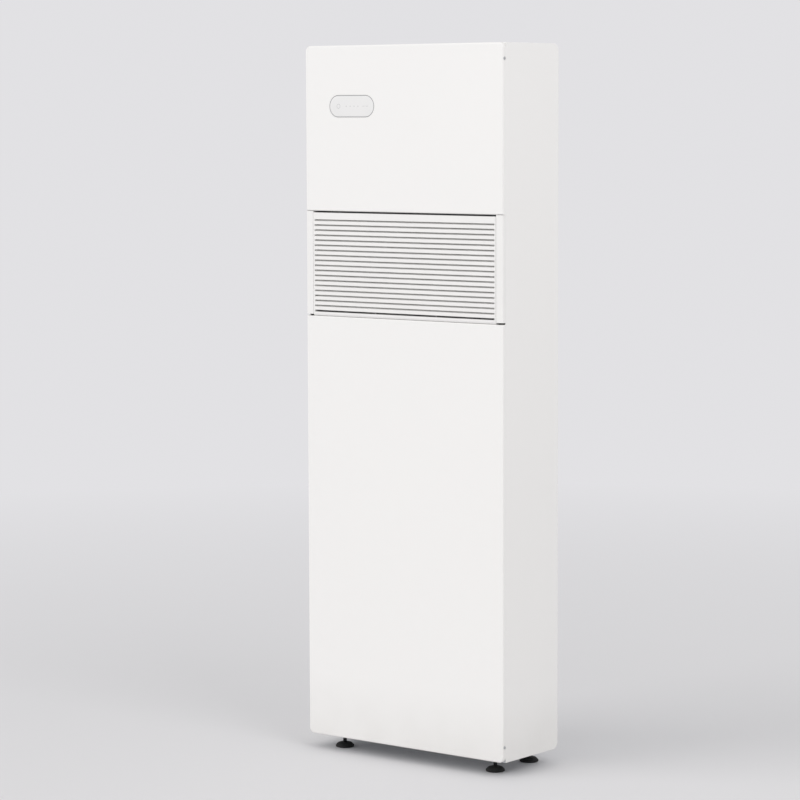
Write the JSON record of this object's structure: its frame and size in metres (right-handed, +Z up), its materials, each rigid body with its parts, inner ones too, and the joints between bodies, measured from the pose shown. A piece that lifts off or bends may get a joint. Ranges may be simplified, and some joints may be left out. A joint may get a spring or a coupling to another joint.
{
  "type": "floor standing air conditioner",
  "caption": "Tall slim floor standing air conditioner: white sheet cabinet on levelling feet, louvred intake band, top outlet flap, inner fans, coils and compressor.",
  "frame": {"origin": "on the floor under the middle of the cabinet", "axes": "+Z up, +Y towards the wall, the front faces -Y, +X to the right seen from the front"},
  "size_m": [0.495, 0.184, 1.435],
  "materials": {
    "white_paint": "smooth white powder coat",
    "white_plastic": "satin white moulding",
    "lens": "pale translucent touch lens",
    "zinc_sheet": "galvanised steel sheet",
    "steel": "zinc plated steel",
    "aluminium": "bare aluminium fins",
    "copper": "bare copper tube",
    "black_rubber": "matt black rubber",
    "black_enamel": "satin black enamel",
    "dark_plastic": "dark moulded plastic",
    "grey_plastic": "grey moulded plastic",
    "foam": "pale insulating moulding",
    "board": "green circuit board"
  },
  "bodies": {
    "cabinet": {"base_pan": "zinc_sheet", "top_cover": "white_paint", "rear_panel": "zinc_sheet", "front_panel_upper": "white_paint", "front_panel_lower": "white_paint", "display_lens": "lens", "display_housing": "dark_plastic", "display_board": "board", "outlet_frame": "white_plastic", "flap_motor": "dark_plastic", "blower_housing": "foam", "blower_motor": "steel", "blower_bearing": "black_rubber", "evaporator_coil": "aluminium", "condensate_tray": "foam", "section_partition": "foam", "machine_shelf": "zinc_sheet", "condenser_coil": "aluminium", "outdoor_fan_scroll": "grey_plastic", "outdoor_fan_motor": "steel", "exhaust_duct_collar": "grey_plastic", "intake_duct_collar": "grey_plastic", "compressor": "black_enamel", "suction_accumulator": "black_enamel", "discharge_pipe": "copper", "suction_pipe": "copper", "liquid_pipe": "copper", "condensate_drain_pipe": "grey_plastic", "control_box": "zinc_sheet", "control_box_cover": "zinc_sheet", "control_board": "board", "cable_gland": "black_rubber", "compressor_mount_1": "black_rubber", "compressor_mount_2": "black_rubber", "compressor_mount_3": "black_rubber", "side_panel_left": "white_paint", "grille_column_left": "white_plastic", "panel_screw_upper_left": "steel", "panel_screw_lower_left": "steel", "side_panel_right": "white_paint", "grille_column_right": "white_plastic", "panel_screw_upper_right": "steel", "panel_screw_lower_right": "steel"},
    "grille": {"intake_grille": "white_plastic", "air_filter": "grey_plastic"},
    "flap": {"outlet_flap": "white_plastic"},
    "blower": {"blower_rotor": "dark_plastic"},
    "outdoor_fan": {"outdoor_fan_wheel": "dark_plastic"},
    "foot_front_left": {"foot_pad_front_left": "black_rubber", "foot_stem_front_left": "steel"},
    "foot_front_right": {"foot_pad_front_right": "black_rubber", "foot_stem_front_right": "steel"},
    "foot_rear_left": {"foot_pad_rear_left": "black_rubber", "foot_stem_rear_left": "steel"},
    "foot_rear_right": {"foot_pad_rear_right": "black_rubber", "foot_stem_rear_right": "steel"}
  },
  "joints": [
    {"name": "grille_hinge", "type": "hinge", "parent": "cabinet", "child": "grille", "pos_m": [0, -0.087, 0.8969], "axis": [1, 0, 0], "range_deg": [0, 50]},
    {"name": "flap_hinge", "type": "hinge", "parent": "cabinet", "child": "flap", "pos_m": [0, 0.0684, 1.43], "axis": [-1, 0, 0], "range_deg": [0, 75]},
    {"name": "blower_spin", "type": "hinge", "parent": "cabinet", "child": "blower", "pos_m": [0, 0.022, 1.2], "axis": [1, 0, 0], "continuous": true},
    {"name": "outdoor_fan_spin", "type": "hinge", "parent": "cabinet", "child": "outdoor_fan", "pos_m": [0.118, 0, 0.61], "axis": [0, 1, 0], "continuous": true},
    {"name": "foot_front_left_height", "type": "slide", "parent": "cabinet", "child": "foot_front_left", "axis": [0, 0, -1], "range_m": [-0.012, 0.01]},
    {"name": "foot_front_right_height", "type": "slide", "parent": "cabinet", "child": "foot_front_right", "axis": [0, 0, -1], "range_m": [-0.012, 0.01]},
    {"name": "foot_rear_left_height", "type": "slide", "parent": "cabinet", "child": "foot_rear_left", "axis": [0, 0, -1], "range_m": [-0.012, 0.01]},
    {"name": "foot_rear_right_height", "type": "slide", "parent": "cabinet", "child": "foot_rear_right", "axis": [0, 0, -1], "range_m": [-0.012, 0.01]}
  ]
}
